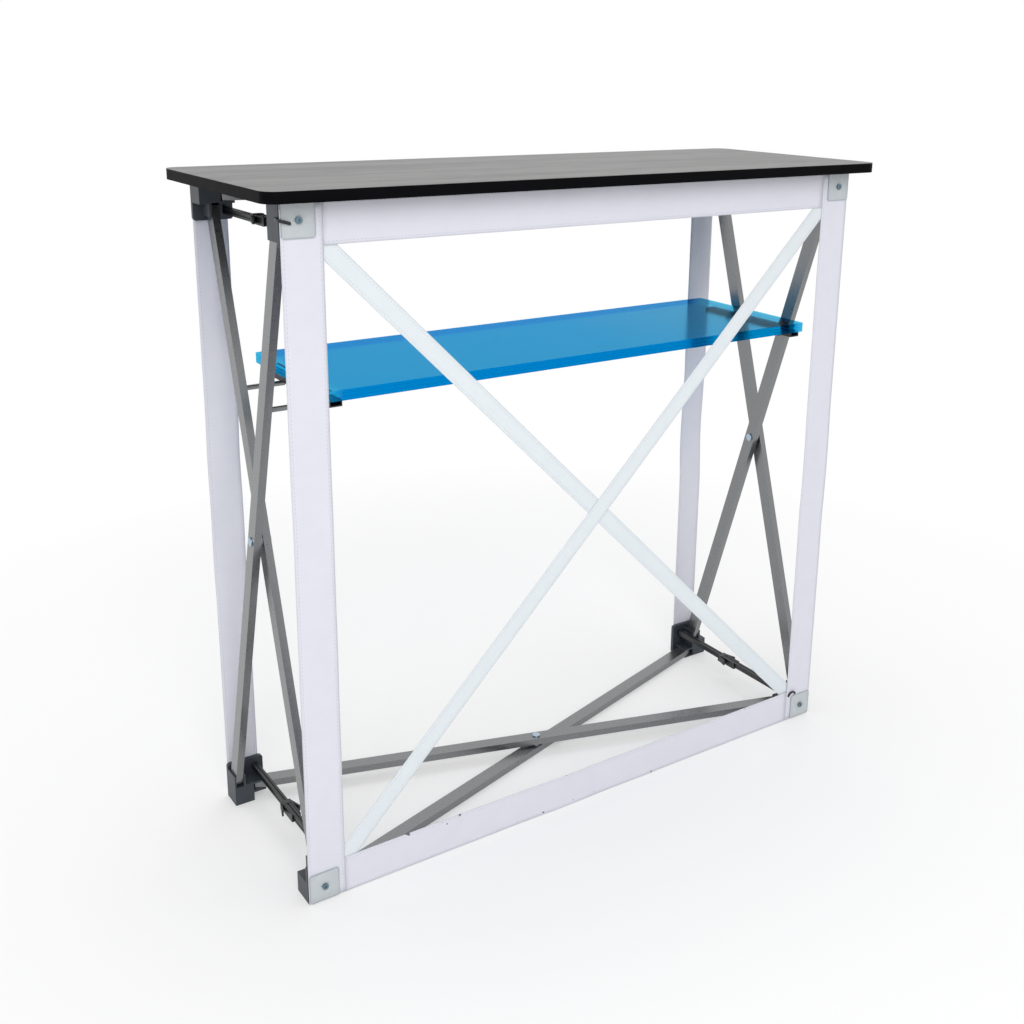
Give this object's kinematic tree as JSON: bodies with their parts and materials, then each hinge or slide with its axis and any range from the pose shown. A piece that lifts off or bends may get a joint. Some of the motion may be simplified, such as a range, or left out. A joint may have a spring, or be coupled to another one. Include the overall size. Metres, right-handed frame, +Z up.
{
  "type": "folding portable bar",
  "caption": "Portable bar counter on a folding scissor frame, with a removable counter top, a clear blue shelf, cloth front bands with crossed straps and snap-in locking arms.",
  "frame": {"origin": "middle of the footprint of the whole object, on the floor", "axes": "+X to the right along the front, +Y to the rear, +Z up; the front with the crossed straps faces -Y"},
  "size_m": [1.114, 0.404, 1.0663],
  "materials": {
    "hub_plastic": "moulded, slate grey",
    "bar_metal": "satin tube",
    "zinc_steel": "zinc plated",
    "band_cloth": "white woven webbing",
    "strap_cloth": "white woven tape",
    "clear_plastic": "clear, slightly green",
    "rail_metal": "dark satin",
    "blue_panel": "translucent blue sheet",
    "board": "black wood-grain laminate"
  },
  "bodies": {
    "rear_bottom_left": {"hub_rear_bottom_left": "hub_plastic", "arm_rear_bottom_left": "hub_plastic", "band_rear_left": "band_cloth"},
    "left_a": {"bar_left_a": "bar_metal", "rivet_left": "zinc_steel"},
    "left_b": {"bar_left_b": "bar_metal"},
    "front_top_left": {"hub_front_top_left": "hub_plastic", "arm_front_top_left": "hub_plastic", "corner_plate_top_left": "clear_plastic", "corner_screw_top_left": "zinc_steel", "band_front_top": "band_cloth", "strap_falling": "strap_cloth"},
    "rear_top_left": {"hub_rear_top_left": "hub_plastic", "arm_rear_top_left": "hub_plastic"},
    "front_bottom_left": {"hub_front_bottom_left": "hub_plastic", "arm_front_bottom_left": "hub_plastic", "corner_plate_bottom_left": "clear_plastic", "corner_screw_bottom_left": "zinc_steel", "band_front_left": "band_cloth", "band_front_bottom": "band_cloth", "strap_rising": "strap_cloth"},
    "bottom_p": {"bar_bottom_p": "bar_metal", "rivet_bottom": "zinc_steel"},
    "bottom_q": {"bar_bottom_q": "bar_metal"},
    "front_bottom_right": {"hub_front_bottom_right": "hub_plastic", "arm_front_bottom_right": "hub_plastic", "corner_plate_bottom_right": "clear_plastic", "corner_screw_bottom_right": "zinc_steel", "band_front_right": "band_cloth"},
    "rear_bottom_right": {"hub_rear_bottom_right": "hub_plastic", "arm_rear_bottom_right": "hub_plastic", "band_rear_right": "band_cloth"},
    "right_a": {"bar_right_a": "bar_metal", "rivet_right": "zinc_steel"},
    "right_b": {"bar_right_b": "bar_metal"},
    "front_top_right": {"hub_front_top_right": "hub_plastic", "arm_front_top_right": "hub_plastic", "corner_plate_top_right": "clear_plastic", "corner_screw_top_right": "zinc_steel"},
    "rear_top_right": {"hub_rear_top_right": "hub_plastic", "arm_rear_top_right": "hub_plastic"},
    "top_p": {"bar_top_p": "bar_metal", "rivet_top": "zinc_steel"},
    "top_q": {"bar_top_q": "bar_metal"},
    "counter": {"counter_top": "board"},
    "shelf_unit": {"shelf": "blue_panel", "shelf_rail_left": "rail_metal", "shelf_rail_right": "rail_metal"}
  },
  "joints": [
    {"name": "fold", "type": "hinge", "parent": "rear_bottom_right", "child": "right_a", "pos_m": [0.5005, 0.153, 0.048], "axis": [1, 0, 0], "range_deg": [0, 70], "deforming": ["band_front_left", "band_front_right", "band_front_bottom", "band_front_top", "band_rear_left", "band_rear_right", "strap_rising", "strap_falling"]},
    {"name": "right_cross", "type": "hinge", "parent": "right_a", "child": "right_b", "pos_m": [0.5005, 0.008, 0.525], "axis": [1, 0, 0], "range_deg": [-140, 0]},
    {"name": "front_top_right_pin", "type": "hinge", "parent": "right_a", "child": "front_top_right", "pos_m": [0.5005, -0.137, 1.002], "axis": [1, 0, 0], "range_deg": [-70, 0]},
    {"name": "rear_top_right_pin", "type": "hinge", "parent": "right_b", "child": "rear_top_right", "pos_m": [0.516, 0.153, 1.002], "axis": [1, 0, 0], "range_deg": [0, 70]},
    {"name": "front_bottom_right_pin", "type": "hinge", "parent": "right_b", "child": "front_bottom_right", "pos_m": [0.516, -0.137, 0.048], "axis": [1, 0, 0], "range_deg": [0, 70]},
    {"name": "bottom_q_pin", "type": "hinge", "parent": "rear_bottom_right", "child": "bottom_q", "pos_m": [0.477, 0.153, 0.009], "axis": [0, 0, 1], "range_deg": [0, 70]},
    {"name": "bottom_cross", "type": "hinge", "parent": "bottom_q", "child": "bottom_p", "pos_m": [0, 0.008, 0.0245], "axis": [0, 0, 1], "range_deg": [-140, 0]},
    {"name": "front_bottom_left_pin", "type": "hinge", "parent": "bottom_q", "child": "front_bottom_left", "pos_m": [-0.477, -0.137, 0.009], "axis": [0, 0, 1], "range_deg": [-70, 0]},
    {"name": "rear_bottom_left_pin", "type": "hinge", "parent": "bottom_p", "child": "rear_bottom_left", "pos_m": [-0.477, 0.153, 0.0245], "axis": [0, 0, 1], "range_deg": [0, 70]},
    {"name": "left_a_pin", "type": "hinge", "parent": "rear_bottom_left", "child": "left_a", "pos_m": [-0.516, 0.153, 0.048], "axis": [1, 0, 0], "range_deg": [0, 70]},
    {"name": "left_cross", "type": "hinge", "parent": "left_a", "child": "left_b", "pos_m": [-0.516, 0.008, 0.525], "axis": [1, 0, 0], "range_deg": [-140, 0]},
    {"name": "front_top_left_pin", "type": "hinge", "parent": "left_a", "child": "front_top_left", "pos_m": [-0.516, -0.137, 1.002], "axis": [1, 0, 0], "range_deg": [-70, 0]},
    {"name": "rear_top_left_pin", "type": "hinge", "parent": "left_b", "child": "rear_top_left", "pos_m": [-0.5005, 0.153, 1.002], "axis": [1, 0, 0], "range_deg": [0, 70]},
    {"name": "top_q_pin", "type": "hinge", "parent": "rear_top_right", "child": "top_q", "pos_m": [0.477, 0.153, 1.041], "axis": [0, 0, 1], "range_deg": [0, 70]},
    {"name": "top_cross", "type": "hinge", "parent": "top_q", "child": "top_p", "pos_m": [0, 0.008, 1.0255], "axis": [0, 0, 1], "range_deg": [-140, 0]},
    {"name": "shelf_out", "type": "slide", "parent": "rear_bottom_right", "child": "shelf_unit", "axis": [0, 1, 0], "range_m": [0, 1.8331]},
    {"name": "counter_lift", "type": "slide", "parent": "rear_top_right", "child": "counter", "axis": [0, 0, 1], "range_m": [0, 0.3]}
  ],
  "couplings": [
    {"joint": "right_cross", "follows": "fold", "ratio": -2},
    {"joint": "front_top_right_pin", "follows": "fold", "ratio": -1},
    {"joint": "rear_top_right_pin", "follows": "fold", "ratio": 1},
    {"joint": "front_bottom_right_pin", "follows": "fold", "ratio": 1},
    {"joint": "bottom_q_pin", "follows": "fold", "ratio": 1},
    {"joint": "bottom_cross", "follows": "fold", "ratio": -2},
    {"joint": "front_bottom_left_pin", "follows": "fold", "ratio": -1},
    {"joint": "rear_bottom_left_pin", "follows": "fold", "ratio": 1},
    {"joint": "left_a_pin", "follows": "fold", "ratio": 1},
    {"joint": "left_cross", "follows": "fold", "ratio": -2},
    {"joint": "front_top_left_pin", "follows": "fold", "ratio": -1},
    {"joint": "rear_top_left_pin", "follows": "fold", "ratio": 1},
    {"joint": "top_q_pin", "follows": "fold", "ratio": 1},
    {"joint": "top_cross", "follows": "fold", "ratio": -2},
    {"joint": "shelf_out", "follows": "fold", "m_per_rad": 1.5}
  ]
}
